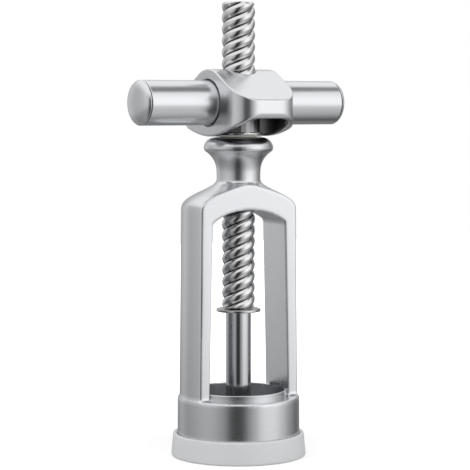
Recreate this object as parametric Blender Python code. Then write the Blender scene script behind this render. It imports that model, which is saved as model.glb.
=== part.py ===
"""A bell-frame corkscrew with a screw spindle and a T handle.

The bell frame stands on the bottle's neck. The T handle's hub carries a nut on the spindle's
three-start thread and turns on the frame's collar, so turning the handle lifts or lowers the
spindle with the worm below it. Lengths are in metres, Z is up, and the spindle's axis is the Z axis.
"""

import math

import bmesh
import bpy
import numpy as np

# Fit between pieces
CLEARANCE = 0.0003
OVERRUN = 0.002
WELD = 0.000001

# Base ring and bottle ring
RING_RADIUS = 0.0247
RING_BORE = 0.0186
RING_HEIGHT = 0.0203
RING_EDGE = 0.0006
LIP_RISE = 0.0025
LIP_WALL = 0.001
FOOT_FLOOR = 0.0035
FOOT_HEIGHT = 0.0092
FOOT_WALL = 0.0015
FOOT_FLARE = 0.0008
FOOT_EDGE = 0.0012

# Legs, window and shoulder of the bell
LEG_STEP = 0.0007
LEG_TAPER = 0.0008
LEG_THICKNESS = 0.0065
LEG_DEPTH = 0.0202
LEG_LENGTH = 0.0752
LEG_ROOT = 0.008
SHOULDER_HEIGHT = 0.0122
CROWN_THICKNESS = 0.0119
ARCH_RISE = 0.0051
SHOULDER_FULLNESS_SHARE = 1.35

# Neck and collar of the bell
NECK_RADIUS = 0.0088
NECK_LENGTH = 0.0118
COLLAR_RADIUS = 0.01405
COLLAR_UNDERCUT = 0.00025
COLLAR_LIP = 0.0008
COLLAR_DOME = 0.0045
COLLAR_FLAT = 0.0094
FLARE_SHARE = 3.6

# Spindle thread
SPINDLE_RADIUS = 0.00665
SPINDLE_PROUD = 0.0267
THREAD_DEPTH = 0.00145
THREAD_PITCH = 0.0046
THREAD_STARTS = 3
THREAD_ROUND_SHARE = 0.6
THREAD_CHAMFER = 0.0008
SPINDLE_TURN = math.radians(56)

# Bush and washer that guide the spindle and carry the hub
BUSH_WALL = 0.00045
BUSH_FLANGE = 0.0006
THRUST_THICKNESS = 0.0006

# Nut in the hub
NUT_RADIUS = 0.0086
NUT_LENGTH = 0.0178
GRUB_RADIUS = 0.0016

# Hub of the T handle
HUB_RADIUS = 0.0134
HUB_LIFT = 0.0004
HUB_LENGTH = 0.0296
HUB_WIDTH = 0.048
HUB_CORNER = 0.010
HUB_WALL = 0.0032
BELT_ABOVE = 0.0011
BELT_BELOW = 0.0044
BLOCK_WIDTH = 0.024
STUD_COVER = 0.001
HANDLE_TURN = math.radians(7)

# Bars of the T handle
BAR_RADIUS = 0.0089
BAR_LENGTH = 0.0313
SOCKET_DEPTH = 0.0014
STUD_RADIUS = 0.004
STUD_WALL = 0.0008
STUD_IN_BAR = 0.012
CAP_HEIGHT = 0.0031
CAP_SPIGOT_RADIUS = 0.006
CAP_SPIGOT_LENGTH = 0.004

# Stop washer, worm and sheath
SHEATH_RADIUS = 0.0051
SHEATH_WALL = 0.00045
SHEATH_LENGTH = 0.055
SHEATH_LIFT = 0.003
STOP_RADIUS = 0.009
STOP_THICKNESS = 0.0012
WIRE_RADIUS = 0.00125
WORM_PITCH = 0.0095
WORM_TIP_INSET = 0.003
SHANK_RADIUS = 0.0022
SHANK_SEAT = 0.010
SHANK_DROP = 0.004
PIN_RADIUS = 0.001
PIN_RISE = 0.0045
TIP_SHARE = 0.12

# Facets
ROUND_SIDES = 40
INNER_SIDES = 28
SMALL_SIDES = 20
ARC_STEPS = 7
THREAD_POINTS = 24
THREAD_RINGS = 10
WORM_RINGS = 12

# Heights and radii that follow from the sizes above
ring_low = FOOT_FLOOR + CLEARANCE
ring_top = ring_low + RING_HEIGHT
lip_top = ring_top + LIP_RISE
leg_radius = RING_RADIUS - LEG_STEP
leg_top_radius = leg_radius - LEG_TAPER
leg_top = ring_top + LEG_LENGTH
neck_low = leg_top + SHOULDER_HEIGHT
collar_low = neck_low + NECK_LENGTH
collar_edge = collar_low + COLLAR_LIP
collar_top = collar_edge + COLLAR_DOME
bush_bore = SPINDLE_RADIUS + CLEARANCE
bush_radius = bush_bore + BUSH_WALL
neck_bore = bush_radius + CLEARANCE
flange_low = collar_top + CLEARANCE
thrust_low = flange_low + BUSH_FLANGE + CLEARANCE
nut_low = thrust_low + THRUST_THICKNESS + CLEARANCE
nut_top = nut_low + NUT_LENGTH
hub_axis = collar_top + HUB_LIFT + HUB_RADIUS
hub_top = hub_axis + HUB_RADIUS
hub_bore = NUT_RADIUS + CLEARANCE
block_low = STUD_RADIUS + CLEARANCE + STUD_COVER
stud_start = hub_bore + STUD_WALL + CLEARANCE
bar_start = HUB_LENGTH / 2 - SOCKET_DEPTH + CLEARANCE
stud_length = bar_start + STUD_IN_BAR - stud_start
cap_start = bar_start + BAR_LENGTH + CLEARANCE
sheath_top = SHEATH_LIFT + SHEATH_LENGTH
stop_low = sheath_top + CLEARANCE
spindle_low = stop_low + STOP_THICKNESS + CLEARANCE
spindle_top = hub_top + SPINDLE_PROUD
sheath_bore = SHEATH_RADIUS - SHEATH_WALL
worm_radius = sheath_bore - CLEARANCE - WIRE_RADIUS
worm_tip = SHEATH_LIFT + WORM_TIP_INSET
worm_start = sheath_top - SHANK_DROP
shank_top = spindle_low + SHANK_SEAT
shank_bore = SHANK_RADIUS + CLEARANCE


def material(name, colour, roughness, metallic, transmission=0):
    """A plain finish for one piece."""
    finish = bpy.data.materials.new(name)
    finish.use_nodes = True
    shader = finish.node_tree.nodes["Principled BSDF"]
    shader.inputs["Base Color"].default_value = (*colour, 1)
    shader.inputs["Roughness"].default_value = roughness
    shader.inputs["Metallic"].default_value = metallic
    shader.inputs["Transmission Weight"].default_value = transmission
    finish.diffuse_color = (*colour, 1)
    return finish


def add_object(name, mesh, finish=None, parent=None):
    """Put a mesh into the scene under a name, smooth on its round faces."""
    mesh.shade_smooth()
    mesh.set_sharp_from_angle(angle=math.radians(35))
    piece = bpy.data.objects.new(name, mesh)
    bpy.context.collection.objects.link(piece)
    if finish:
        mesh.materials.append(finish)
    if parent:
        piece.parent = parent
    return piece


def add_cutter(name, mesh, parent=None):
    """A shape that only cuts, joins or limits another piece."""
    cutter = add_object(name, mesh, parent=parent)
    cutter.hide_render = True
    cutter.display_type = "WIRE"
    return cutter


def boolean(piece, cutter, operation="DIFFERENCE"):
    """Cut, join or limit a piece with a cutter."""
    step = piece.modifiers.new(cutter.name, "BOOLEAN")
    step.operation = operation
    step.object = cutter
    step.solver = "EXACT"


def add_axis(name, height, turn=0):
    """An empty on the spindle's axis, which moving pieces hang from."""
    axis = bpy.data.objects.new(name, None)
    axis.location.z = height
    axis.rotation_euler.z = turn
    bpy.context.collection.objects.link(axis)
    bpy.context.view_layer.update()
    return axis


def finished_mesh(name, shape):
    """Turn a bmesh into a mesh whose faces point out."""
    bmesh.ops.recalc_face_normals(shape, faces=shape.faces)
    mesh = bpy.data.meshes.new(name)
    shape.to_mesh(mesh)
    shape.free()
    return mesh


def turned(name, outline, sides=ROUND_SIDES):
    """Turn an outline of (radius, height) pairs about Z. Ends on the axis stay open to it."""
    shape = bmesh.new()
    points = [shape.verts.new((radius, 0, height)) for radius, height in outline]
    pairs = list(zip(points, points[1:]))
    if outline[0][0] > 0 or outline[-1][0] > 0:
        pairs.append((points[-1], points[0]))
    edges = [shape.edges.new(pair) for pair in pairs]
    bmesh.ops.spin(shape, geom=points + edges, cent=(0, 0, 0), axis=(0, 0, 1), dvec=(0, 0, 0),
                   angle=math.tau, steps=sides, use_merge=True)
    bmesh.ops.remove_doubles(shape, verts=shape.verts, dist=WELD)
    return finished_mesh(name, shape)


def prism(name, outline, low, high, along="Z"):
    """Extrude a flat outline from low to high along one axis.

    The outline's pairs are (x, y) along Z, (y, z) along X and (x, z) along Y.
    """
    place = {"X": lambda u, v, w: (w, u, v), "Y": lambda u, v, w: (u, w, v),
             "Z": lambda u, v, w: (u, v, w)}[along]
    shape = bmesh.new()
    face = shape.faces.new([shape.verts.new(place(u, v, low)) for u, v in outline])
    grown = bmesh.ops.extrude_face_region(shape, geom=[face])["geom"]
    shift = place(0, 0, high - low)
    bmesh.ops.translate(shape, verts=[v for v in grown if isinstance(v, bmesh.types.BMVert)],
                        vec=shift)
    return finished_mesh(name, shape)


def block(name, low, high):
    """A box between two corners."""
    outline = [(low[0], low[1]), (high[0], low[1]), (high[0], high[1]), (low[0], high[1])]
    return prism(name, outline, low[2], high[2])


def arc(centre, radius, start, end, steps=ARC_STEPS):
    """Points on a circle between two angles, both ends included."""
    return [(centre[0] + radius * math.cos(angle), centre[1] + radius * math.sin(angle))
            for angle in np.linspace(start, end, steps + 1)]


def rod(name, radius, low, high, sides=SMALL_SIDES):
    """A plain round rod on the Z axis."""
    return turned(name, [(0, low), (radius, low), (radius, high), (0, high)], sides)


def tube(name, bore, radius, low, high, sides=ROUND_SIDES):
    """A plain round tube on the Z axis."""
    return turned(name, [(bore, low), (radius, low), (radius, high), (bore, high)], sides)


def bell_profile():
    """Outline of the bell above the ring: legs, shoulder, neck flare and domed collar."""
    drop = leg_top_radius - NECK_RADIUS
    flare = COLLAR_RADIUS - COLLAR_UNDERCUT - NECK_RADIUS
    steps = np.linspace(0, 1, ARC_STEPS + 1)
    shoulder = [(NECK_RADIUS + drop * (1 + math.cos(math.pi * t ** SHOULDER_FULLNESS_SHARE)) / 2,
                 leg_top + SHOULDER_HEIGHT * t) for t in steps]
    neck = [(NECK_RADIUS + flare * t ** FLARE_SHARE, neck_low + NECK_LENGTH * t) for t in steps[1:]]
    dome = [(COLLAR_FLAT + (COLLAR_RADIUS - COLLAR_FLAT) * math.cos(angle),
             collar_edge + COLLAR_DOME * math.sin(angle))
            for angle in np.linspace(0, math.pi / 2, ARC_STEPS + 1)]
    foot = ring_top - LEG_ROOT
    return [(0, foot), (leg_radius, foot)] + shoulder + neck + dome + [(0, collar_top)]


def window_outline():
    """The opening between the legs, with a low arch at its crown."""
    half = leg_radius - LEG_THICKNESS
    crown = neck_low - CROWN_THICKNESS
    radius = (half ** 2 + ARCH_RISE ** 2) / (2 * ARCH_RISE)
    sweep = math.asin(half / radius)
    arch = arc((0, crown - radius), radius, math.pi / 2 - sweep, math.pi / 2 + sweep)
    low = ring_top - LEG_ROOT - OVERRUN
    return [(-half, low), (half, low)] + arch


def make_bell_frame():
    """The casting: a ring, two legs under an arched shoulder, a neck and a collar."""
    finish = material("satin_cast_metal", (0.62, 0.63, 0.64), 0.34, 1)
    bell = add_object("bell_frame", turned("bell_frame", bell_profile()), finish)
    reach = RING_RADIUS + OVERRUN
    low = ring_top - LEG_ROOT - OVERRUN
    for side, name in ((1, "back_flat"), (-1, "front_flat")):
        near, far = sorted((side * LEG_DEPTH / 2, side * reach))
        boolean(bell, add_cutter(name, block(name, (-reach, near, low), (reach, far, neck_low))))
    window = prism("window", window_outline(), -reach, reach, along="Y")
    boolean(bell, add_cutter("window", window))
    edge = arc((RING_RADIUS - RING_EDGE, ring_top - RING_EDGE), RING_EDGE, 0, math.pi / 2, 3)
    lip = RING_BORE + LIP_WALL
    ring = turned("base_ring", [(0, ring_low), (RING_RADIUS, ring_low)] + edge
                  + [(lip, ring_top), (lip, lip_top), (0, lip_top)])
    boolean(bell, add_cutter("base_ring", ring), "UNION")
    bore = rod("ring_bore", RING_BORE, ring_low - OVERRUN, lip_top + CLEARANCE, ROUND_SIDES)
    boolean(bell, add_cutter("ring_bore", bore))
    bore = rod("neck_bore", neck_bore, neck_low - SHOULDER_HEIGHT - OVERRUN, collar_top + OVERRUN,
               ROUND_SIDES)
    boolean(bell, add_cutter("neck_bore", bore))


def make_bottle_ring():
    """The milky plastic ring that the base ring sits in."""
    finish = material("milky_plastic", (0.86, 0.87, 0.87), 0.4, 0, 0.3)
    socket = RING_RADIUS + CLEARANCE
    top = socket + FOOT_WALL
    bottom = top + FOOT_FLARE
    corner = arc((bottom - FOOT_EDGE, FOOT_EDGE), FOOT_EDGE, -math.pi / 2, 0, 4)
    outline = ([(RING_BORE, 0)] + corner
               + [(top, FOOT_HEIGHT), (socket, FOOT_HEIGHT), (socket, FOOT_FLOOR),
                  (RING_BORE, FOOT_FLOOR)])
    add_object("bottle_ring", turned("bottle_ring", outline), finish)


def make_guide_bush():
    """Flanged plastic sleeve that guides the spindle through the neck."""
    finish = material("bush_plastic", (0.8, 0.8, 0.78), 0.5, 0)
    flange = flange_low + BUSH_FLANGE
    low = neck_low - CROWN_THICKNESS + ARCH_RISE
    outline = [(bush_bore, low), (bush_radius, low), (bush_radius, flange_low),
               (COLLAR_FLAT, flange_low), (COLLAR_FLAT, flange), (bush_bore, flange)]
    add_object("guide_bush", turned("guide_bush", outline, INNER_SIDES), finish)


def make_thrust_washer():
    """The washer that the nut turns on."""
    finish = material("washer_steel", (0.6, 0.6, 0.6), 0.3, 1)
    mesh = tube("thrust_washer", bush_bore, COLLAR_FLAT, thrust_low,
                thrust_low + THRUST_THICKNESS, INNER_SIDES)
    add_object("thrust_washer", mesh, finish)


def thread_mesh():
    """A bar with a lobe for each start of its thread, turned as it rises."""
    lead = THREAD_PITCH * THREAD_STARTS
    length = spindle_top - spindle_low
    rings = round(length / lead * THREAD_RINGS)
    height = np.linspace(0, length, rings + 1)[:, None]
    around = np.linspace(0, math.tau, THREAD_POINTS, endpoint=False)[None, :]
    swell = np.abs(np.sin(around * THREAD_STARTS / 2)) ** THREAD_ROUND_SHARE
    radius = SPINDLE_RADIUS - THREAD_DEPTH * (1 - swell)
    to_end = np.minimum(height, length - height)
    limit = SPINDLE_RADIUS - np.maximum(THREAD_CHAMFER - to_end, 0)
    radius = np.minimum(radius, limit)
    angle = around + math.tau * height / lead
    points = np.stack([radius * np.cos(angle), radius * np.sin(angle),
                       np.broadcast_to(height, angle.shape)], axis=-1).reshape(-1, 3)
    ends = [list(range(THREAD_POINTS))[::-1], list(range(rings * THREAD_POINTS, len(points)))]
    walls = [(ring * THREAD_POINTS + step, ring * THREAD_POINTS + (step + 1) % THREAD_POINTS,
              (ring + 1) * THREAD_POINTS + (step + 1) % THREAD_POINTS,
              (ring + 1) * THREAD_POINTS + step)
             for ring in range(rings) for step in range(THREAD_POINTS)]
    mesh = bpy.data.meshes.new("spindle")
    mesh.from_pydata(points.tolist(), [], ends + walls)
    shape = bmesh.new()
    shape.from_mesh(mesh)
    bpy.data.meshes.remove(mesh)
    return finished_mesh("spindle", shape)


def pin_cutter(name, parent):
    """The cross hole for the worm's pin, along Y."""
    reach = SPINDLE_RADIUS + OVERRUN
    outline = arc((0, PIN_RISE), PIN_RADIUS + CLEARANCE, 0, math.tau, SMALL_SIDES)[:-1]
    return add_cutter(name, prism(name, outline, -reach, reach, along="Y"), parent)


def make_spindle(axis):
    """The threaded rod, bored from below for the worm's shank."""
    finish = material("polished_steel", (0.62, 0.62, 0.63), 0.2, 1)
    spindle = add_object("spindle", thread_mesh(), finish, axis)
    depth = SHANK_SEAT + CLEARANCE
    bore = add_cutter("shank_bore", rod("shank_bore", shank_bore, -OVERRUN, depth), axis)
    boolean(spindle, bore)
    boolean(spindle, pin_cutter("spindle_pin_hole", axis))
    washer = tube("stop_washer", shank_bore, STOP_RADIUS, stop_low - spindle_low,
                  stop_low + STOP_THICKNESS - spindle_low)
    add_object("stop_washer", washer, finish, axis)
    half = SPINDLE_RADIUS - THREAD_DEPTH
    outline = arc((0, PIN_RISE), PIN_RADIUS, 0, math.tau, SMALL_SIDES // 2)[:-1]
    add_object("worm_pin", prism("worm_pin", outline, -half, half, along="Y"), finish, axis)


def worm_mesh():
    """The worm's wire, as a tube along the shank and then down the helix to its point."""
    turns = (worm_start - worm_tip) / WORM_PITCH
    steps = round(turns * WORM_RINGS)
    angle = np.linspace(0, math.tau * turns, steps + 1)
    spread = worm_radius * np.minimum(angle / math.pi, 1)
    helix = np.stack([spread * np.cos(angle), -spread * np.sin(angle),
                      worm_start - WORM_PITCH * angle / math.tau], axis=-1)
    shank = np.array([[0, 0, shank_top], [0, 0, stop_low], [0, 0, worm_start + SHANK_RADIUS]])
    route = np.concatenate([shank, helix]) - [0, 0, spindle_low]
    thick = SHANK_RADIUS / WIRE_RADIUS
    blend = np.clip(1 - angle / math.pi, 0, 1)
    taper = np.minimum((angle[-1] - angle) / math.pi * (1 - TIP_SHARE) + TIP_SHARE, 1)
    radius = np.concatenate([[thick] * len(shank), (1 + (thick - 1) * blend) * taper])
    curve = bpy.data.curves.new("worm_wire", "CURVE")
    curve.dimensions = "3D"
    curve.bevel_depth = WIRE_RADIUS
    curve.bevel_resolution = 2
    curve.use_fill_caps = True
    spline = curve.splines.new("POLY")
    spline.points.add(len(route) - 1)
    for point, place, share in zip(spline.points, route, radius):
        point.co = (*place, 1)
        point.radius = share
    wire = bpy.data.objects.new("worm_wire", curve)
    mesh = bpy.data.meshes.new_from_object(wire)
    bpy.data.objects.remove(wire)
    shape = bmesh.new()
    shape.from_mesh(mesh)
    bpy.data.meshes.remove(mesh)
    bmesh.ops.remove_doubles(shape, verts=shape.verts, dist=WELD)
    return finished_mesh("worm", shape)


def make_worm(axis):
    """The worm, held in the spindle by its shank and a cross pin."""
    finish = material("worm_steel", (0.6, 0.6, 0.61), 0.25, 1)
    worm = add_object("worm", worm_mesh(), finish, axis)
    boolean(worm, pin_cutter("worm_pin_hole", axis))


def make_sheath(axis):
    """The polished tube over the worm."""
    finish = material("sheath_steel", (0.62, 0.63, 0.64), 0.16, 1)
    mesh = tube("worm_sheath", sheath_bore, SHEATH_RADIUS, SHEATH_LIFT - spindle_low,
                sheath_top - spindle_low)
    add_object("worm_sheath", mesh, finish, axis)


def hub_plan(inset):
    """Rounded rectangle that the hub fills seen from above."""
    x, y = HUB_LENGTH / 2 - inset, HUB_WIDTH / 2 - inset
    corner = HUB_CORNER - inset
    quarters = ((1, 1, 0), (-1, 1, 1), (-1, -1, 2), (1, -1, 3))
    return [point for sx, sy, turn in quarters
            for point in arc((sx * (x - corner), sy * (y - corner)), corner,
                             turn * math.pi / 2, (turn + 1) * math.pi / 2)]


def tangent(width, height, radius):
    """Angle from the vertical at which a line from (width, height) touches the hub's circle."""
    reach = math.hypot(width, height)
    return math.pi / 2 - math.atan2(height, width) - math.acos(radius / reach)


def hub_section(inset, open_below=False):
    """The hub's lens shape seen along the bars: arcs at top and bottom, and a belt between."""
    radius = HUB_RADIUS - inset
    width = HUB_WIDTH / 2 - inset
    above = BELT_ABOVE - inset / 2
    crown = tangent(width, above, radius)
    top = arc((0, 0), radius, math.pi / 2 - crown, math.pi / 2 + crown)
    if open_below:
        low = -HUB_RADIUS - OVERRUN
        return [(width, low), (width, above)] + top + [(-width, above), (-width, low)]
    keel = tangent(width, BELT_BELOW, radius)
    bottom = arc((0, 0), radius, -math.pi / 2 - keel, -math.pi / 2 + keel)
    return ([(width, -BELT_BELOW), (width, above)] + top
            + [(-width, above), (-width, -BELT_BELOW)] + bottom)


def make_hub(axis):
    """The cast hub: a lens-shaped shell, hollow below, with a solid block round the nut."""
    finish = material("satin_cast_hub", (0.64, 0.65, 0.66), 0.3, 1)
    reach = HUB_RADIUS + OVERRUN
    hub = add_object("handle_hub", prism("handle_hub", hub_plan(0), -reach, reach), finish, axis)
    along = HUB_LENGTH / 2 + OVERRUN
    lens = add_cutter("hub_lens", prism("hub_lens", hub_section(0), -along, along, "X"), axis)
    boolean(hub, lens, "INTERSECT")

    hollow = add_cutter("hub_hollow", prism("hub_hollow", hub_plan(HUB_WALL), -reach, reach), axis)
    inside = prism("hollow_lens", hub_section(HUB_WALL, True), -along, along, "X")
    boolean(hollow, add_cutter("hollow_lens", inside, axis), "INTERSECT")
    core = block("nut_block", (-along, -BLOCK_WIDTH / 2, -block_low), (along, BLOCK_WIDTH / 2, reach))
    boolean(hollow, add_cutter("nut_block", core, axis))
    boolean(hub, hollow)

    nut_seat = nut_top + CLEARANCE - hub_axis
    boolean(hub, add_cutter("nut_bore", rod("nut_bore", hub_bore, -reach, nut_seat, ROUND_SIDES),
                            axis))
    boolean(hub, add_cutter("spindle_hole", rod("spindle_hole", bush_bore, 0, reach, ROUND_SIDES),
                            axis))
    socket = BAR_RADIUS + CLEARANCE
    floor = HUB_LENGTH / 2 - SOCKET_DEPTH
    bottom = stud_start - CLEARANCE
    seat = [(0, bottom), (STUD_RADIUS + CLEARANCE, bottom), (STUD_RADIUS + CLEARANCE, floor),
            (socket, floor), (socket, along), (0, along)]
    for side, name in ((1, "right"), (-1, "left")):
        cutter = add_cutter("socket_" + name, turned("socket_" + name, seat), axis)
        cutter.rotation_euler.y = side * math.pi / 2
        boolean(hub, cutter)
    outline = arc((0, 0), GRUB_RADIUS + CLEARANCE, 0, math.tau, SMALL_SIDES)[:-1]
    hole = prism("grub_hole", outline, -BLOCK_WIDTH / 2 - OVERRUN, BLOCK_WIDTH / 2 + OVERRUN, "Y")
    boolean(hub, add_cutter("grub_hole", hole, axis))


def make_nut(axis):
    """The nut, and the two grub screws that hold it in the hub."""
    finish = material("nut_steel", (0.66, 0.66, 0.67), 0.25, 1)
    nut = tube("spindle_nut", bush_bore, NUT_RADIUS, nut_low - hub_axis, nut_top - hub_axis,
               INNER_SIDES)
    add_object("spindle_nut", nut, finish, axis)
    outline = arc((0, 0), GRUB_RADIUS, 0, math.tau, SMALL_SIDES // 2)[:-1]
    near, far = NUT_RADIUS + CLEARANCE, BLOCK_WIDTH / 2
    for name, low, high in (("grub_screw_back", near, far), ("grub_screw_front", -far, -near)):
        add_object(name, prism(name, outline, low, high, along="Y"), finish, axis)


def make_bars(axis):
    """Each side's stud, bar and domed cap, turned about Z and laid along the handle."""
    finish = material("satin_bar_metal", (0.66, 0.67, 0.68), 0.3, 1)
    steel = material("stud_steel", (0.55, 0.55, 0.56), 0.35, 1)
    hole, depth = STUD_RADIUS + CLEARANCE, bar_start + STUD_IN_BAR + CLEARANCE
    end, spigot = bar_start + BAR_LENGTH, CAP_SPIGOT_RADIUS + CLEARANCE
    seat = cap_start - CAP_SPIGOT_LENGTH - CLEARANCE
    bar = [(0, depth), (hole, depth), (hole, bar_start), (BAR_RADIUS, bar_start),
           (BAR_RADIUS, end), (spigot, end), (spigot, seat), (0, seat)]
    dome = [(BAR_RADIUS * math.cos(angle), cap_start + CAP_HEIGHT * math.sin(angle))
            for angle in np.linspace(0, math.pi / 2, ARC_STEPS + 1)][:-1]
    cap = ([(0, cap_start - CAP_SPIGOT_LENGTH), (CAP_SPIGOT_RADIUS, cap_start - CAP_SPIGOT_LENGTH),
            (CAP_SPIGOT_RADIUS, cap_start)] + dome + [(0, cap_start + CAP_HEIGHT)])
    stud = [(0, stud_start), (STUD_RADIUS, stud_start),
            (STUD_RADIUS, stud_start + stud_length), (0, stud_start + stud_length)]
    shapes = (("handle_bar_", bar, finish, ROUND_SIDES), ("end_cap_", cap, finish, ROUND_SIDES),
              ("bar_stud_", stud, steel, SMALL_SIDES))
    for side, name in ((1, "right"), (-1, "left")):
        for prefix, outline, look, sides in shapes:
            piece = add_object(prefix + name, turned(prefix + name, outline, sides), look, axis)
            piece.rotation_euler.y = side * math.pi / 2


def main():
    """Clear the scene and make the corkscrew."""
    for old in list(bpy.data.objects):
        bpy.data.objects.remove(old)
    make_bell_frame()
    make_bottle_ring()
    make_guide_bush()
    make_thrust_washer()
    handle_axis = add_axis("handle_axis", hub_axis, HANDLE_TURN)
    make_hub(handle_axis)
    make_nut(handle_axis)
    make_bars(handle_axis)
    spindle_axis = add_axis("spindle_axis", spindle_low, SPINDLE_TURN)
    make_spindle(spindle_axis)
    make_worm(spindle_axis)
    make_sheath(spindle_axis)


main()
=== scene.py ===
# %% [markdown]
# A corkscrew with a bell frame, a coarse screw spindle and a T handle.
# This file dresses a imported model: every rigid piece already has its place and its size, and each
# cell below gives one piece its fine surface or its finish. Lengths are in metres and Z is up.

# %% Load the frame
import math

import bmesh
import bpy
import numpy as np
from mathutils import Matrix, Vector


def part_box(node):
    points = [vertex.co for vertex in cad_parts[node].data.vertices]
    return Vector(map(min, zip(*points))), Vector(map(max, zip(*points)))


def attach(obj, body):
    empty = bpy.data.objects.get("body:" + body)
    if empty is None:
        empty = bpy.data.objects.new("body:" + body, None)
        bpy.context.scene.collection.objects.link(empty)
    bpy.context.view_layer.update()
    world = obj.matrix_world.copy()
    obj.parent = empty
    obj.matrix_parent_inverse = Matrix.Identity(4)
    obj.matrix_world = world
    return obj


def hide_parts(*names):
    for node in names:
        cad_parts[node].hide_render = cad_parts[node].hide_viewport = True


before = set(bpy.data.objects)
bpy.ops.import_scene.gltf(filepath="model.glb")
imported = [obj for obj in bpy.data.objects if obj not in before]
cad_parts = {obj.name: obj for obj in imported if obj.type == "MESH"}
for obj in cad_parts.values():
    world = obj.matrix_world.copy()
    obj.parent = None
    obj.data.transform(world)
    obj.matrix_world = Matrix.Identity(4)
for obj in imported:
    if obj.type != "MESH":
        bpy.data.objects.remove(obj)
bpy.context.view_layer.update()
scene = bpy.context.scene

# %% [markdown]
# The camera comes first, because every later choice is judged through it. The photograph looks as
# if it was taken from about three quarters of a metre with a long lens, level with the handle's
# bars and looking a little down. A long lens keeps the two legs nearly the same size.

# %% Camera
CAMERA_DISTANCE = 0.754
CAMERA_HEIGHT = 0.1424
CAMERA_AZIMUTH = math.radians(-26)
AIM_HEIGHT = 0.0892
AIM_LEFT = 0.0014
LENS = 143.5
SENSOR = 36


def make_camera():
    """A camera at the photograph's place, turned to the point it was aimed at."""
    lens = bpy.data.cameras.new("camera")
    lens.lens, lens.sensor_width = LENS, SENSOR
    camera = bpy.data.objects.new("camera", lens)
    scene.collection.objects.link(camera)
    right = Vector((math.cos(CAMERA_AZIMUTH), math.sin(CAMERA_AZIMUTH), 0))
    back = Vector((math.sin(CAMERA_AZIMUTH), -math.cos(CAMERA_AZIMUTH), 0))
    camera.location = back * CAMERA_DISTANCE + Vector((0, 0, CAMERA_HEIGHT))
    aim = right * -AIM_LEFT + Vector((0, 0, AIM_HEIGHT))
    camera.rotation_euler = (aim - camera.location).to_track_quat("-Z", "Y").to_euler()
    scene.camera = camera
    print("camera at", [round(value, 3) for value in camera.location])


make_camera()

# %% [markdown]
# Most pieces of this object are turned on a lathe or run along a path. So one helper makes a mesh
# from a grid of points, another turns a profile, and a third rounds a profile's corners, because
# a real edge is never perfectly sharp, and it is the rounding that catches light. Blender's Bevel
# could round the edges too, but a rounded profile says exactly how much.

# %% Surfaces from grids
TURNED_SIDES = 160
WELD = 1e-7
FLAT_SHARE = 1.25


def linked(name, mesh):
    """A new object for a mesh, put into the scene."""
    made = bpy.data.objects.new(name, mesh)
    scene.collection.objects.link(made)
    return made


def add_piece(name, mesh, body, node, look):
    """Link a mesh as a piece with one finish, which rides on a body and stands for a CAD node."""
    mesh.shade_smooth()
    mesh.materials.append(look)
    piece = linked(name, mesh)
    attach(piece, body)
    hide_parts(node)


def grid_mesh(name, points, close_rows=False, cap_ends=False):
    """A mesh from points[row, column]. Columns run round and close; rows may close too.

    Face (i, j) joins points (i, j), (i, j+1), (i+1, j+1) and (i+1, j), with j+1 wrapped round.
    """
    rows, columns = points.shape[:2]
    index = np.arange(rows * columns).reshape(rows, columns)
    if close_rows:
        index = np.vstack([index, index[:1]])
    right = np.roll(index, -1, axis=1)
    faces = np.stack([index[:-1], right[:-1], right[1:], index[1:]], axis=-1).reshape(-1, 4)
    faces = faces.tolist()
    if cap_ends:
        faces += [index[0][::-1].tolist(), index[-1].tolist()]
    mesh = bpy.data.meshes.new(name)
    mesh.from_pydata(points.reshape(-1, 3).tolist(), [], faces)
    shape = bmesh.new()
    shape.from_mesh(mesh)
    bmesh.ops.remove_doubles(shape, verts=shape.verts, dist=WELD)
    bmesh.ops.recalc_face_normals(shape, faces=shape.faces)
    shape.to_mesh(mesh)
    shape.free()
    return mesh


def rounded(corners, closed=True, steps=6):
    """A profile with rounded corners, from (radius, height, rounding) rows.

    Each corner becomes the curve (1-t)^2 A + 2t(1-t) P + t^2 B, where A and B lie one rounding
    away from the corner P on its two sides. A point just outside A and B keeps the flats flat.
    """
    corners = np.array(corners, float)
    place, soft = corners[:, :2], corners[:, 2]
    out = []
    for i in range(len(place)):
        if soft[i] == 0 or (not closed and i in (0, len(place) - 1)):
            out.append(place[i][None])
            continue
        before, after = place[i - 1] - place[i], place[(i + 1) % len(place)] - place[i]
        reach = [side / np.linalg.norm(side) * soft[i] for side in (before, after)]
        t = np.linspace(0, 1, steps + 1)[:, None]
        a, b = place[i] + reach[0], place[i] + reach[1]
        curve = (1 - t) ** 2 * a + 2 * t * (1 - t) * place[i] + t ** 2 * b
        flat = [place[i] + side * FLAT_SHARE for side in reach]
        out.append(np.vstack([flat[0], curve, flat[1]]))
    return np.vstack(out)


def turned(name, profile, closed=True, sides=TURNED_SIDES):
    """Turn a profile about Z: x = r cos(a), y = r sin(a), z = height."""
    angle = np.linspace(0, math.tau, sides, endpoint=False)[None, :]
    radius, height = profile[:, :1], profile[:, 1:]
    points = np.stack([radius * np.cos(angle), radius * np.sin(angle),
                       np.broadcast_to(height, (len(profile), sides))], axis=-1)
    return grid_mesh(name, points, close_rows=closed)


def moved(mesh, change):
    """Pass a mesh's vertices through a function of their places."""
    flat = np.empty(len(mesh.vertices) * 3)
    mesh.vertices.foreach_get("co", flat)
    mesh.vertices.foreach_set("co", change(flat.reshape(-1, 3)).ravel())
    mesh.update()
    return mesh


print("turned pieces have", TURNED_SIDES, "sides")

# %% [markdown]
# A material is a small graph of nodes, and these helpers add the nodes that it needs most: one
# sum, one noise, one vector step, and the place of each point on the piece itself.

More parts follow.
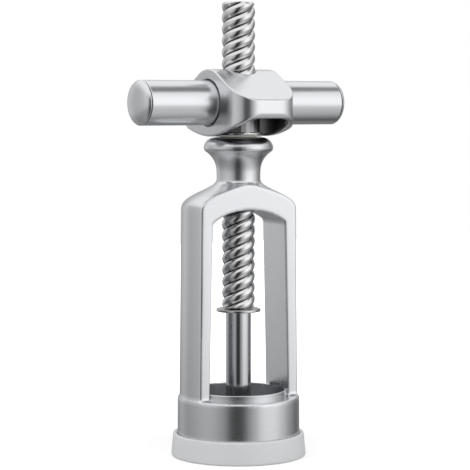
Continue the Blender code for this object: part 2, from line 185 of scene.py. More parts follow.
# %% Helpers for nodes
def new_group(name, inputs, outputs):
    """An empty shader group with named sockets. Inputs are (name, type, default)."""
    group = bpy.data.node_groups.new(name, "ShaderNodeTree")
    for label, kind, value in inputs:
        socket = group.interface.new_socket(label, in_out="INPUT", socket_type=kind)
        if value is not None:
            socket.default_value = value
    for label, kind in outputs:
        group.interface.new_socket(label, in_out="OUTPUT", socket_type=kind)
    return group, group.nodes.new("NodeGroupInput"), group.nodes.new("NodeGroupOutput")


def feed(tree, value, socket):
    """Give a socket a number, or link another socket to it."""
    if hasattr(value, "is_linked"):
        tree.links.new(value, socket)
    else:
        socket.default_value = value


def math_node(tree, operation, a, b=None):
    """A Math node whose inputs are sockets or numbers. Gives its output socket."""
    node = tree.nodes.new("ShaderNodeMath")
    node.operation = operation
    for socket, value in zip(node.inputs, (a, b)):
        if value is not None:
            feed(tree, value, socket)
    return node.outputs[0]


def vector_node(tree, operation, vector):
    """A Vector Math node whose first input is a socket or three numbers. Gives the node."""
    node = tree.nodes.new("ShaderNodeVectorMath")
    node.operation = operation
    feed(tree, vector, node.inputs[0])
    return node


def noise(tree, vector, scale, detail):
    """A noise value from 0 to 1 that reads a vector. Gives its output socket."""
    node = tree.nodes.new("ShaderNodeTexNoise")
    node.inputs["Detail"].default_value = detail
    tree.links.new(vector, node.inputs["Vector"])
    feed(tree, scale, node.inputs["Scale"])
    return node.outputs["Fac"]


def object_place(tree):
    """The place of each point in the piece's own coordinates."""
    return tree.nodes.new("ShaderNodeTexCoord").outputs["Object"]


print("node helpers ready")

# %% [markdown]
# The same few small effects show on several finishes, so each is a node group that is built once:
# cast grain is a fine noise that breaks up the gloss, lathe lines are thin rings along the piece's
# own axis, and the axis fade changes with the distance from the spindle's axis. A group gives out
# values and normals only, and the shader stays in the material.

# %% Node groups for shared effects
BUMP_HEIGHT = 0.0001
GRAIN_DETAIL = 3
LINE_DETAIL = 2
BLOTCH_DETAIL = 4
CAST_BLOTCHES = 90.0
LATHE_BLOTCHES = 110.0


def join_effect(group, source, target, fine, broad):
    """Roughness swings with the broad noise about its middle, and bumps follow the fine noise."""
    swing = math_node(group, "MULTIPLY", math_node(group, "SUBTRACT", broad, 0.5),
                      source.outputs["Spread"])
    group.links.new(math_node(group, "ADD", source.outputs["Roughness"], swing),
                    target.inputs["Roughness"])
    bump = group.nodes.new("ShaderNodeBump")
    bump.inputs["Distance"].default_value = BUMP_HEIGHT
    group.links.new(source.outputs["Depth"], bump.inputs["Strength"])
    group.links.new(fine, bump.inputs["Height"])
    group.links.new(bump.outputs["Normal"], target.inputs["Normal"])


def grain_group():
    """Cast grain: fine noise bumps the surface, and broad noise changes its roughness."""
    group, source, target = new_group(
        "cast_grain",
        [("Vector", "NodeSocketVector", None), ("Scale", "NodeSocketFloat", 2600.0),
         ("Depth", "NodeSocketFloat", 0.05), ("Roughness", "NodeSocketFloat", 0.3),
         ("Spread", "NodeSocketFloat", 0.05)],
        [("Roughness", "NodeSocketFloat"), ("Normal", "NodeSocketVector")])
    fine = noise(group, source.outputs["Vector"], source.outputs["Scale"], GRAIN_DETAIL)
    broad = noise(group, source.outputs["Vector"], CAST_BLOTCHES, BLOTCH_DETAIL)
    join_effect(group, source, target, fine, broad)
    return group


def lathe_group():
    """Lathe lines: noise read only along one axis, so it is the same all the way round."""
    group, source, target = new_group(
        "lathe_lines",
        [("Vector", "NodeSocketVector", None), ("Axis", "NodeSocketVector", (0, 0, 1)),
         ("Lines", "NodeSocketFloat", 5000.0), ("Depth", "NodeSocketFloat", 0.06),
         ("Roughness", "NodeSocketFloat", 0.3), ("Spread", "NodeSocketFloat", 0.06)],
        [("Roughness", "NodeSocketFloat"), ("Normal", "NodeSocketVector")])
    along = vector_node(group, "DOT_PRODUCT", source.outputs["Vector"])
    group.links.new(source.outputs["Axis"], along.inputs[1])
    combine = group.nodes.new("ShaderNodeCombineXYZ")
    group.links.new(along.outputs["Value"], combine.inputs["Z"])
    fine = noise(group, combine.outputs[0], source.outputs["Lines"], LINE_DETAIL)
    broad = noise(group, source.outputs["Vector"], LATHE_BLOTCHES, BLOTCH_DETAIL)
    join_effect(group, source, target, fine, broad)
    return group


def fade_group():
    """Axis fade: a value that runs from Low to High between two distances from the Z axis."""
    labels = (("Near", 0.0), ("Far", 1.0), ("Low", 0.0), ("High", 1.0))
    group, source, target = new_group(
        "axis_fade",
        [("Vector", "NodeSocketVector", None)]
        + [(label, "NodeSocketFloat", value) for label, value in labels],
        [("Value", "NodeSocketFloat")])
    flat = vector_node(group, "MULTIPLY", source.outputs["Vector"])
    flat.inputs[1].default_value = (1, 1, 0)
    reach = vector_node(group, "LENGTH", flat.outputs["Vector"])
    fade = group.nodes.new("ShaderNodeMapRange")
    group.links.new(reach.outputs["Value"], fade.inputs["Value"])
    for (label, _), end in zip(labels, ("From Min", "From Max", "To Min", "To Max")):
        group.links.new(source.outputs[label], fade.inputs[end])
    group.links.new(fade.outputs["Result"], target.inputs["Value"])
    return group


GRAIN, LATHE, FADE = grain_group(), lathe_group(), fade_group()
print("groups:", GRAIN.name, LATHE.name, FADE.name)

# %% [markdown]
# A finish is one function call. Metal takes its look from its colour, its roughness and the room
# it reflects. The cast pieces are satin, the turned bars are a little glossier with lathe lines,
# and the spindle, washer and sheath are polished. The foot is milky plastic, which lets light in.

# %% Finishes
HANDLE_TURN = math.radians(7)
BAR_AXIS = (math.cos(HANDLE_TURN), math.sin(HANDLE_TURN), 0)
UP_AXIS = (0, 0, 1)
MILK_SHARE = 0.35
MILK_DEPTH = 0.004


def finish(name, colour, metallic=1.0, group=GRAIN, **values):
    """A Principled material whose roughness and normal come from one of the groups."""
    made = bpy.data.materials.new(name)
    made.use_nodes = True
    tree = made.node_tree
    shader = tree.nodes["Principled BSDF"]
    shader.inputs["Base Color"].default_value = (*colour, 1)
    shader.inputs["Metallic"].default_value = metallic
    place = object_place(tree)
    effect = tree.nodes.new("ShaderNodeGroup")
    effect.node_tree = group
    tree.links.new(place, effect.inputs["Vector"])
    for label, value in values.items():
        effect.inputs[label].default_value = value
    tree.links.new(effect.outputs["Roughness"], shader.inputs["Roughness"])
    tree.links.new(effect.outputs["Normal"], shader.inputs["Normal"])
    return made


def milky_plastic():
    """The foot's plastic: pale, soft-lit from inside, with a smooth moulded skin."""
    made = finish("milky_foot_plastic", (0.72, 0.73, 0.74), metallic=0.0, Scale=900.0,
                  Roughness=0.38, Depth=0.03, Spread=0.1)
    shader = made.node_tree.nodes["Principled BSDF"]
    shader.inputs["Subsurface Weight"].default_value = MILK_SHARE
    shader.inputs["Subsurface Radius"].default_value = (MILK_DEPTH,) * 3
    shader.inputs["Subsurface Scale"].default_value = 1.0
    return made


def axis_fade(tree, near, far, low, high):
    """Add the fade group to a material's nodes. Gives its output socket."""
    place = object_place(tree)
    fade = tree.nodes.new("ShaderNodeGroup")
    fade.node_tree = FADE
    tree.links.new(place, fade.inputs["Vector"])
    for label, value in (("Near", near), ("Far", far), ("Low", low), ("High", high)):
        fade.inputs[label].default_value = value
    return fade.outputs["Value"]


def tint(made, share):
    """Multiply a finish's colour by a value from its own nodes."""
    tree = made.node_tree
    colour = tree.nodes["Principled BSDF"].inputs["Base Color"]
    scale = vector_node(tree, "SCALE", colour.default_value[:3])
    tree.links.new(share, scale.inputs["Scale"])
    tree.links.new(scale.outputs["Vector"], colour)


CAST = finish("satin_cast_metal", (0.74, 0.75, 0.77), Roughness=0.27, Depth=0.04)
# The hub has a finish of its own, because painted shade is added to it in its hollow below.
HUB_CAST = finish("satin_hub_metal", (0.75, 0.76, 0.78), Roughness=0.27, Depth=0.04)
BAR_METAL = finish("satin_bar_metal", (0.74, 0.75, 0.77), group=LATHE, Axis=BAR_AXIS,
                   Lines=9000.0, Roughness=0.25, Depth=0.01, Spread=0.03)
POLISHED = finish("polished_spindle_steel", (0.74, 0.74, 0.745), Roughness=0.11, Depth=0.02)
WASHER_STEEL = finish("stop_washer_steel", (0.64, 0.635, 0.625), group=LATHE, Axis=UP_AXIS,
                      Roughness=0.18, Depth=0.03)
SHEATH_STEEL = finish("sheath_tube_steel", (0.62, 0.63, 0.645), group=LATHE, Axis=UP_AXIS,
                      Roughness=0.12, Depth=0.03)
WORM_STEEL = finish("worm_wire_steel", (0.60, 0.60, 0.61), Roughness=0.2, Depth=0.04)
FASTENER_STEEL = finish("plain_fastener_steel", (0.45, 0.45, 0.46), Roughness=0.38, Depth=0.1)
NUT_STEEL = finish("turned_nut_steel", (0.40, 0.40, 0.41), group=LATHE, Axis=UP_AXIS,
                   Roughness=0.35, Depth=0.05)
BUSH_PLASTIC = finish("bush_plastic", (0.78, 0.78, 0.75), metallic=0.0, Roughness=0.45)
FOOT_PLASTIC = milky_plastic()
print("finishes:", len(bpy.data.materials))

# %% [markdown]
# The plastic foot is a plain turned shape: a cup that the metal ring sits in, with a flared skirt.
# It is a profile with rounded corners, turned round the spindle's axis.

# %% Plastic foot
FOOT_HEIGHT = 0.0092
FOOT_FLOOR = 0.0035
FOOT_BOTTOM = 0.0273
FOOT_TOP = 0.0265
FOOT_SOCKET = 0.0250
RING_BORE = 0.0186
FOOT_BORE_EDGE = 0.0004
FOOT_SKIRT_EDGE = 0.0009
FOOT_RIM_EDGE = 0.0006
FOOT_CUP_EDGE = 0.0003


def make_foot():
    """A cup-shaped ring, wider at the bottom, with a thin lip round the base ring."""
    profile = rounded([(RING_BORE, 0, FOOT_BORE_EDGE),
                       (FOOT_BOTTOM, 0, FOOT_SKIRT_EDGE),
                       (FOOT_TOP, FOOT_HEIGHT, FOOT_RIM_EDGE),
                       (FOOT_SOCKET, FOOT_HEIGHT, FOOT_CUP_EDGE),
                       (FOOT_SOCKET, FOOT_FLOOR, FOOT_CUP_EDGE),
                       (RING_BORE, FOOT_FLOOR, FOOT_CUP_EDGE)])
    mesh = turned("plastic_foot", profile)
    add_piece("plastic_foot", mesh, "frame", "bottle_ring", FOOT_PLASTIC)
    print("foot faces:", len(mesh.polygons))


make_foot()

# %% [markdown]
# The two castings, the bell and the hub, are cut from simple solids: round rods, flat outlines and
# turned shapes. A voxel remesh then gives even small faces, and smoothing rolls every edge and
# corner over a little, as the mould and the polishing wheel do. That is what turns hard edges into
# the soft bright lines of a real casting. A Bevel could do it too, but it is hard to keep clean
# where cuts cross.

# %% Cuts and softening
OVERRUN = 0.002
SOFTEN_FACTOR = 0.5


def rod(radius, low, high):
    """The profile of a plain round rod, for turning."""
    return np.array([[0, low], [radius, low], [radius, high], [0, high]])


def prism(name, outline, low, high, along):
    """Carry a flat outline along X, Y or Z between two places, and close both ends."""
    outline = np.array(outline, float)
    rows = [np.insert(outline, "XYZ".index(along), place, axis=1) for place in (low, high)]
    return grid_mesh(name, np.stack(rows), cap_ends=True)


def add_cut(work, cutter, operation):
    """Cut one object with another, join them, or keep what they share."""
    step = work.modifiers.new(cutter.name, "BOOLEAN")
    step.operation, step.object, step.solver = operation, cutter, "EXACT"


def baked(name, work, helpers):
    """The mesh that an object's modifiers give. The object and its helpers are then removed."""
    graph = bpy.context.evaluated_depsgraph_get()
    result = bpy.data.meshes.new_from_object(work.evaluated_get(graph))
    result.name = name
    for old in (work, *helpers):
        bpy.data.objects.remove(old)
    return result


def carved(name, base, cuts, voxel, smoothing):
    """A mesh with cuts made in it, remeshed to even faces and smoothed to soft edges.

    Each cut is (mesh, operation).
    """
    work = linked(name + "_work", base)
    helpers = []
    for mesh, operation in cuts:
        helpers.append(linked(mesh.name, mesh))
        add_cut(work, helpers[-1], operation)
    remesh = work.modifiers.new("even", "REMESH")
    remesh.mode, remesh.voxel_size = "VOXEL", voxel
    smooth = work.modifiers.new("soften", "SMOOTH")
    smooth.factor, smooth.iterations = SOFTEN_FACTOR, smoothing
    return baked(name, work, helpers)


print("cuts run past a solid by", OVERRUN)

# %% [markdown]
# The bell is one casting, from the base ring to the collar. A turned solid is cut by two flat
# blocks and an arched window, joined to the ring's disc and bored. The window is cut straight and
# drawn in toward its top after the remesh, because a slanted cut would show the voxels as steps.

# %% Bell casting
RING_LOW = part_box("bell_frame")[0][2]
RING_RADIUS = 0.0247
RING_TOP = 0.0241
RING_EDGE = 0.0006
LEG_RADIUS = 0.0240
LEG_TOP_RADIUS = 0.0232
LEG_TOP = 0.0993
LEG_DEPTH = 0.0202
LEG_THICKNESS = 0.0065
WINDOW_TAPER = 0.0015
CROWN = 0.0996
ARCH_RISE = 0.0051
ARCH_POINTS = 48
SHOULDER_SLOPE = 1.35
NECK_LOW = 0.1115
NECK_RADIUS = 0.0088
NECK_FLARE = 3.6
NECK_BORE = 0.0077
COLLAR_LOW = 0.1233
COLLAR_RADIUS = 0.01405
COLLAR_LEAN = 0.00025
COLLAR_FLAT = 0.0094
COLLAR_EDGE = 0.1241
COLLAR_TOP = 0.1286
LIP_TOP = 0.0266
BELL_VOXEL = 0.0005
BELL_SMOOTHING = 8


def bell_profile(steps=40):
    """Legs, a cosine shoulder, a neck that flares as a power of height, and an elliptic dome."""
    t = np.linspace(0, 1, steps)
    shoulder = np.stack([NECK_RADIUS + (LEG_TOP_RADIUS - NECK_RADIUS)
                         * (1 + np.cos(math.pi * t ** SHOULDER_SLOPE)) / 2,
                         LEG_TOP + (NECK_LOW - LEG_TOP) * t], axis=-1)
    neck = np.stack([NECK_RADIUS + (COLLAR_RADIUS - COLLAR_LEAN - NECK_RADIUS) * t ** NECK_FLARE,
                     NECK_LOW + (COLLAR_LOW - NECK_LOW) * t], axis=-1)
    turn = t * math.pi / 2
    dome = np.stack([COLLAR_FLAT + (COLLAR_RADIUS - COLLAR_FLAT) * np.cos(turn),
                     COLLAR_EDGE + (COLLAR_TOP - COLLAR_EDGE) * np.sin(turn)], axis=-1)
    foot = RING_TOP - OVERRUN * 3
    return np.vstack([[0, foot], [LEG_RADIUS, foot], shoulder, neck[1:], dome, [0, COLLAR_TOP]])


def window_outline(low):
    """The window from a height up: straight sides under an arc of radius (w^2 + h^2) / 2h.

    Here w is half the window's width, and h is the arch's rise.
    """
    half = LEG_RADIUS - LEG_THICKNESS
    radius = (half ** 2 + ARCH_RISE ** 2) / (2 * ARCH_RISE)
    sweep = math.asin(half / radius)
    angle = np.linspace(math.pi / 2 - sweep, math.pi / 2 + sweep, ARCH_POINTS)
    arch = np.stack([radius * np.cos(angle), CROWN - radius + radius * np.sin(angle)], axis=-1)
    return np.vstack([[-half, low], [half, low], arch])


def narrowed(points):
    """Draw the window in toward its top, with the legs' outer faces kept.

    The shift grows evenly from the ring to where the arch starts, and dies out at its crown.
    Across, it is greatest on the legs' inner faces and nothing on the axis and the outer faces.
    """
    half, spring = LEG_RADIUS - LEG_THICKNESS, CROWN - ARCH_RISE
    x, y, z = points.T
    reach = np.abs(x)
    rise = np.interp(z, [RING_TOP, spring, CROWN], [0, 1, 0])
    radius = np.interp(z, [RING_TOP, LEG_TOP], [LEG_RADIUS, LEG_TOP_RADIUS])
    thinnest = half + LEG_THICKNESS / 4
    outer = np.sqrt(np.maximum(radius ** 2 - y ** 2, thinnest ** 2))
    across = np.where(reach < half, reach / half, (outer - reach) / (outer - half)).clip(0, 1)
    out = points.copy()
    out[:, 0] = x - np.sign(x) * WINDOW_TAPER * rise * across
    return out


def make_bell():
    """Turn the bell, cut its flats, its window and its bores, and soften it."""
    reach = RING_RADIUS + OVERRUN
    low = RING_TOP - OVERRUN * 4
    flat = [(-reach, low), (reach, low), (reach, NECK_LOW), (-reach, NECK_LOW)]
    cuts = []
    for side, name in ((1, "back_flat"), (-1, "front_flat")):
        y = sorted((side * LEG_DEPTH / 2, side * reach))
        cuts.append((prism(name, flat, y[0], y[1], "Y"), "DIFFERENCE"))
    cuts.append((prism("window", window_outline(low), -reach, reach, "Y"), "DIFFERENCE"))
    disc = rounded([(0, RING_LOW, 0), (RING_RADIUS, RING_LOW, RING_EDGE / 2),
                    (RING_RADIUS, RING_TOP, RING_EDGE), (0, RING_TOP, 0)], closed=False)
    bores = {"ring_bore": rod(RING_BORE, RING_LOW - OVERRUN, LIP_TOP + OVERRUN / 5),
             "neck_bore": rod(NECK_BORE, CROWN - OVERRUN * 4, COLLAR_TOP + OVERRUN)}
    cuts.append((turned("ring_disc", disc, closed=False), "UNION"))
    for name, bore in bores.items():
        cuts.append((turned(name, bore, closed=False), "DIFFERENCE"))
    base = turned("bell", bell_profile(), closed=False)
    mesh = moved(carved("bell_casting", base, cuts, BELL_VOXEL, BELL_SMOOTHING), narrowed)
    add_piece("bell_casting", mesh, "frame", "bell_frame", CAST)
    print("bell faces:", len(mesh.polygons))


make_bell()

# %% [markdown]
# A thin lip stands up round the bore, on top of the base ring. It is only a millimetre thick, so
# the bell's remesh would blur it. It is turned by itself, and its foot is sunk into the ring.

# %% Lip round the bore
LIP_WALL = 0.001
LIP_FOOT_SHARE = 0.2
LIP_CROWN_SHARE = 0.35


def make_bore_lip():
    """Turn the lip, with its crown rounder than its foot."""
    outer, foot = RING_BORE + LIP_WALL, RING_TOP - OVERRUN
    foot_edge, crown_edge = LIP_WALL * LIP_FOOT_SHARE, LIP_WALL * LIP_CROWN_SHARE
    profile = rounded([(RING_BORE, foot, foot_edge), (outer, foot, foot_edge),
                       (outer, LIP_TOP, crown_edge), (RING_BORE, LIP_TOP, crown_edge)])
    mesh = turned("bore_lip", profile)
    add_piece("bore_lip", mesh, "frame", "bell_frame", CAST)
    print("lip faces:", len(mesh.polygons))


make_bore_lip()

# %% [markdown]
# The hub is the piece the hand feels. Seen from above it is a rounded block, and seen along the
# bars it is a lens, so it is the part that those two outlines share. Its underside is fuller than
# an arc, because the photograph's silhouette is, and one power says how full.

# %% Hub outlines
HUB_AXIS = 0.1424
HUB_RADIUS = 0.0134
HUB_HALF = (0.0148, 0.024)
HUB_CORNER = 0.010
CORNER_POINTS = 17
CROWN_POINTS = 33
KEEL_POINTS = 65
BELT_ABOVE = 0.0011
BELT_BELOW = 0.0044
KEEL_FULLNESS = 1.6


def hub_place(points):
    """Turn points by the handle's angle about Z and lift them to the handle's height."""
    points = np.asarray(points, float)
    c, s = math.cos(HANDLE_TURN), math.sin(HANDLE_TURN)
    x, y, z = points[..., 0], points[..., 1], points[..., 2]
    return np.stack([x * c - y * s, x * s + y * c, z + HUB_AXIS], axis=-1)


def hub_plan(inset):
    """A rounded rectangle: four quarter circles about its corners' centres."""
    corner = HUB_CORNER - inset
    x, y = HUB_HALF[0] - inset - corner, HUB_HALF[1] - inset - corner
    signs = np.repeat(np.array([(1, 1), (-1, 1), (-1, -1), (1, -1)]), CORNER_POINTS, axis=0)
    quarters = [np.linspace(quarter, quarter + 1, CORNER_POINTS) for quarter in range(4)]
    angle = np.concatenate(quarters) * math.pi / 2
    return signs * [x, y] + corner * np.stack([np.cos(angle), np.sin(angle)], axis=-1)


def hub_section(inset, open_below):
    """A lens: an arc with straight tangents above, a belt, and a full curve below.

    The lower curve is |y / width|^n + |drop / depth|^n = 1, with n the keel's fullness.
    """
    radius, width, above = HUB_RADIUS - inset, HUB_HALF[1] - inset, BELT_ABOVE - inset / 2
    crown = (math.pi / 2 - math.atan2(above, width)
             - math.acos(radius / math.hypot(width, above)))
    angle = np.linspace(math.pi / 2 - crown, math.pi / 2 + crown, CROWN_POINTS)
    top = radius * np.stack([np.cos(angle), np.sin(angle)], axis=-1)
    if open_below:
        low = -HUB_RADIUS - OVERRUN
        return np.vstack([[width, low], [width, above], top, [-width, above], [-width, low]])
    across = np.linspace(-1, 1, KEEL_POINTS)
    drop = (1 - np.abs(across) ** KEEL_FULLNESS) ** (1 / KEEL_FULLNESS)
    bottom = np.stack([width * across, -BELT_BELOW - (radius - BELT_BELOW) * drop], axis=-1)
    return np.vstack([[width, above], top, [-width, above], bottom])


print("hub outline points:", len(hub_plan(0)), len(hub_section(0, False)))

# %% [markdown]
# Below, the hub is hollow, as a casting is to save metal: a thin wall, and a solid core round the
# nut. The hollow reaches further toward the front and back than an even wall would let it, which
# came closer to the photograph. Inside, the hub's colour is darkened as painted shade for the
# recess.

# %% Hub hollow
HUB_WALL = 0.0032
HOLLOW_REACH = 1.08
HOLLOW_HALF = (0.0120, 0.0229)
HOLLOW_SQUARENESS = 5.0
HOLLOW_SHADE = 0.8
BLOCK_HALF = 0.012
BLOCK_LOW = 0.0053


def hub_core():
    """The part of the hub's hollow that is really hollow, as one solid to cut with."""
    reach, along = HUB_RADIUS + OVERRUN, HUB_HALF[0] + OVERRUN
    block = [(-along, -BLOCK_HALF), (along, -BLOCK_HALF), (along, BLOCK_HALF),
             (-along, BLOCK_HALF)]
    plan = hub_plan(HUB_WALL) * [1, HOLLOW_REACH]
    section = hub_section(HUB_WALL, True) * [HOLLOW_REACH, 1]
    hollow = linked("hollow", prism("hollow", plan, -reach, reach, "Z"))
    lens = linked("lens", prism("lens", section, -along, along, "X"))
    core = linked("core", prism("core", block, -BLOCK_LOW, reach, "Z"))
    add_cut(hollow, lens, "INTERSECT")
    add_cut(hollow, core, "DIFFERENCE")
    return baked("hollow_cut", hollow, (lens, core))


def paint_hollow_shade():
    """Darken the hollow, as painted shade for the recess.

    In the hub's own directions it is where |x / a|^n + |y / b|^n < 1, below the bars' axis,
    with n the hollow's squareness.
    """
    tree = HUB_CAST.node_tree
    place = object_place(tree)
    local = tree.nodes.new("ShaderNodeMapping")
    local.vector_type = "TEXTURE"
    local.inputs["Location"].default_value = (0, 0, HUB_AXIS)
    local.inputs["Rotation"].default_value = (0, 0, HANDLE_TURN)
    local.inputs["Scale"].default_value = (*HOLLOW_HALF, 1)
    tree.links.new(place, local.inputs["Vector"])
    split = tree.nodes.new("ShaderNodeSeparateXYZ")
    tree.links.new(local.outputs["Vector"], split.inputs[0])
    sides = [math_node(tree, "POWER", math_node(tree, "ABSOLUTE", split.outputs[axis]),
                       HOLLOW_SQUARENESS) for axis in "XY"]
    inside = math_node(tree, "LESS_THAN", math_node(tree, "ADD", *sides), 1.0)
    below = math_node(tree, "LESS_THAN", split.outputs["Z"], 0.0)
    hollow = math_node(tree, "MULTIPLY", inside, below)
    # Painted shade: inside the hollow, below the bars' axis, the hub's colour is darkened.
    shade = math_node(tree, "MULTIPLY", hollow, HOLLOW_SHADE)
    tint(HUB_CAST, math_node(tree, "SUBTRACT", 1.0, shade))


paint_hollow_shade()
print("hollow tinted in", HUB_CAST.name)

# %% [markdown]
# The hub is cut from its two outlines, hollowed, bored for the nut and the spindle, and given a
# socket for each bar with a small gap round it. Its remesh is finer than the bell's, so that the
# hollow's thin edge stays clean.

# %% Hub casting
BAR_RADIUS = 0.0089
SOCKET_FLOOR = 0.0134
SOCKET_GAP = 0.0005
NUT_BORE = 0.0089
NUT_SEAT = 0.0064
SPINDLE_HOLE = 0.00695
HUB_VOXEL = 0.00031
HUB_SMOOTHING = 8


def laid(side):
    """A quarter turn that lays what stands on Z along X, to the right (1) or the left (-1)."""
    return lambda p: np.stack([side * p[:, 2], p[:, 1], -side * p[:, 0]], axis=-1)


def make_hub():
    """Cut the hub from its two outlines, hollow it, bore it and soften it."""
    reach, along = HUB_RADIUS + OVERRUN, HUB_HALF[0] + OVERRUN
    cuts = [(prism("hub_lens", hub_section(0, False), -along, along, "X"), "INTERSECT"),
            (hub_core(), "DIFFERENCE"),
            (turned("nut_bore", rod(NUT_BORE, -reach, NUT_SEAT), closed=False), "DIFFERENCE"),
            (turned("spindle_hole", rod(SPINDLE_HOLE, 0, reach), closed=False), "DIFFERENCE")]
    for side, name in ((1, "right"), (-1, "left")):
        seat = rod(BAR_RADIUS + SOCKET_GAP, SOCKET_FLOOR, along)
        socket = turned("socket_" + name, seat, closed=False)
        cuts.append((moved(socket, laid(side)), "DIFFERENCE"))
    base = prism("hub", hub_plan(0), -reach, reach, "Z")
    mesh = moved(carved("hub_casting", base, cuts, HUB_VOXEL, HUB_SMOOTHING), hub_place)
    add_piece("hub_casting", mesh, "handle", "handle_hub", HUB_CAST)
    print("hub faces:", len(mesh.polygons))


make_hub()

# %% [markdown]
# Each bar is a satin rod with softly broken edges, and its cap is a low dome. A fine dark line
# shows where the cap meets the bar, so the two stay separate pieces with a real gap between them.
# Both are turned about Z and then laid along the handle.

# %% Bars and caps
BAR_START = 0.0137
BAR_END = 0.0450
BAR_INNER_EDGE = 0.0006
BAR_OUTER_EDGE = 0.0003
CAP_START = 0.0453
CAP_HEIGHT = 0.00295
CAP_EDGE = 0.0003
CAP_RIM = 0.0006
CAP_DOME_LOW = 0.0004
CAP_FULLNESS = 0.8


def along_bar(side):
    """Lay points turned about Z along the handle, and put them at its place."""
    return lambda p: hub_place(laid(side)(p))


def make_bars():
    """Turn a bar and a cap, and lay one of each along both sides of the handle.

    The cap's dome is r = R cos(t)^n, height = H sin(t), with n the cap's fullness.
    """
    bar = rounded([(0, BAR_START, 0), (BAR_RADIUS, BAR_START, BAR_INNER_EDGE),
                   (BAR_RADIUS, BAR_END, BAR_OUTER_EDGE), (0, BAR_END, 0)], closed=False)
    turn = np.linspace(0, math.pi / 2, 40)
    dome = np.stack([BAR_RADIUS * np.cos(turn) ** CAP_FULLNESS,
                     CAP_START + CAP_HEIGHT * np.sin(turn)], axis=-1)
    rim = rounded([(0, CAP_START, 0), (BAR_RADIUS, CAP_START, CAP_EDGE),
                   (BAR_RADIUS, CAP_START + CAP_RIM, 0)], closed=False)
    cap = np.vstack([rim[:-2], dome[dome[:, 1] > CAP_START + CAP_DOME_LOW]])
    for side, name in ((1, "right"), (-1, "left")):
        for label, profile, node in (("bar_", bar, "handle_bar_"), ("cap_", cap, "end_cap_")):
            mesh = moved(turned(label + name, profile, closed=False), along_bar(side))
            add_piece(label + name, mesh, "handle", node + name, BAR_METAL)
    print("bars end at", CAP_START + CAP_HEIGHT)


make_bars()

# %% [markdown]
# The spindle is a bar of three-lobed section that turns as it rises, and the lobes are the three
# starts of its thread. The crests are round like rope and the grooves between them are narrow, so
# the lobes are a sine raised to a small power. Many thin rows keep the crests' highlights clean.

# %% Spindle
SPINDLE_RADIUS = 0.00665
SPINDLE_EDGE = 0.0008
THREAD_DEPTH = 0.00145
CREST_POWER = 0.5
STARTS = 3
LEAD = 0.0046 * STARTS
SPINDLE_TURN = math.radians(56)
SPINDLE_LOW, SPINDLE_HIGH = (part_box("spindle")[end][2] for end in (0, 1))
SHARP_ANGLE = math.radians(60)
ROOT_SHADE = 0.22
ROOT_SHARE = 0.6


def paint_root_shade():
    """Darken the thread's roots by distance from the axis, as painted shade in the grooves."""
    root = SPINDLE_RADIUS - THREAD_DEPTH
    # Painted shade: the thread's colour darkens toward its roots.
    fade = axis_fade(POLISHED.node_tree, root, root + THREAD_DEPTH * ROOT_SHARE, ROOT_SHADE, 1.0)
    tint(POLISHED, fade)


def make_spindle(around=96, per_turn=72):
    """Radius = crest - depth (1 - |sin(starts a / 2)|^n), turned by 360 degrees for each lead.

    Here n is the crest's power. The crests are chamfered at 45 degrees at both ends.
    """
    length = SPINDLE_HIGH - SPINDLE_LOW
    rows = round(length / LEAD * per_turn)
    height = np.linspace(0, length, rows)[:, None]
    angle = np.linspace(0, math.tau, around, endpoint=False)[None, :]
    swell = np.abs(np.sin(angle * STARTS / 2)) ** CREST_POWER
    radius = SPINDLE_RADIUS - THREAD_DEPTH * (1 - swell)
    end = np.minimum(height, length - height)
    radius = np.minimum(radius, SPINDLE_RADIUS - np.maximum(SPINDLE_EDGE - end, 0))
    turn = SPINDLE_TURN + angle + math.tau * height / LEAD
    points = np.stack([radius * np.cos(turn), radius * np.sin(turn),
                       np.broadcast_to(SPINDLE_LOW + height, turn.shape)], axis=-1)
    mesh = grid_mesh("spindle_thread", points, cap_ends=True)
    add_piece("spindle_thread", mesh, "spindle", "spindle", POLISHED)
    mesh.set_sharp_from_angle(angle=SHARP_ANGLE)
    print("spindle faces:", len(mesh.polygons))


paint_root_shade()
make_spindle()

# %% [markdown]
# Under the thread sits a thin disc, taken to be what stops the spindle under the bell's crown, and
# under the disc is the tube that covers the worm. Both are plain turned parts, so a profile with
# softened edges is all they need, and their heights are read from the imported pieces.

# %% Stop washer and sheath
WASHER_LOW, WASHER_HIGH = (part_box("stop_washer")[end][2] for end in (0, 1))
WASHER_HOLE = 0.0025
WASHER_RADIUS = 0.009
WASHER_HOLE_EDGE = 0.0002
WASHER_RIM_EDGE = 0.0004
SHEATH_LOW, SHEATH_HIGH = (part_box("worm_sheath")[end][2] for end in (0, 1))
SHEATH_BORE = 0.00465
SHEATH_RADIUS = 0.0051
SHEATH_EDGE = 0.00015


def turned_tube(inner, outer, low, high, inner_edge, outer_edge):
    """The profile of a tube or washer with softened edges, for turning."""
    return rounded([(inner, low, inner_edge), (outer, low, outer_edge),
                    (outer, high, outer_edge), (inner, high, inner_edge)])


def make_stop_and_sheath():
    """Two turned pieces: a thin disc with a rounded rim, and a thin tube with soft ends."""
    disc = turned_tube(WASHER_HOLE, WASHER_RADIUS, WASHER_LOW, WASHER_HIGH,
                       WASHER_HOLE_EDGE, WASHER_RIM_EDGE)
    tube = turned_tube(SHEATH_BORE, SHEATH_RADIUS, SHEATH_LOW, SHEATH_HIGH,
                       SHEATH_EDGE, SHEATH_EDGE)
    add_piece("stop_disc", turned("stop_disc", disc), "spindle", "stop_washer", WASHER_STEEL)
    add_piece("sheath_tube", turned("sheath_tube", tube), "sheath", "worm_sheath", SHEATH_STEEL)
    print("sheath from", round(SHEATH_LOW, 4), "to", round(SHEATH_HIGH, 4))


make_stop_and_sheath()

# %% [markdown]
# The worm hides in the sheath until the sheath is pulled off. It is a wire wound in a helix that
# starts on the axis, swings out in half a turn and thins to its tip, so it is a circle carried
# along that path. The circle is set by the direction away from the axis, known at every point.

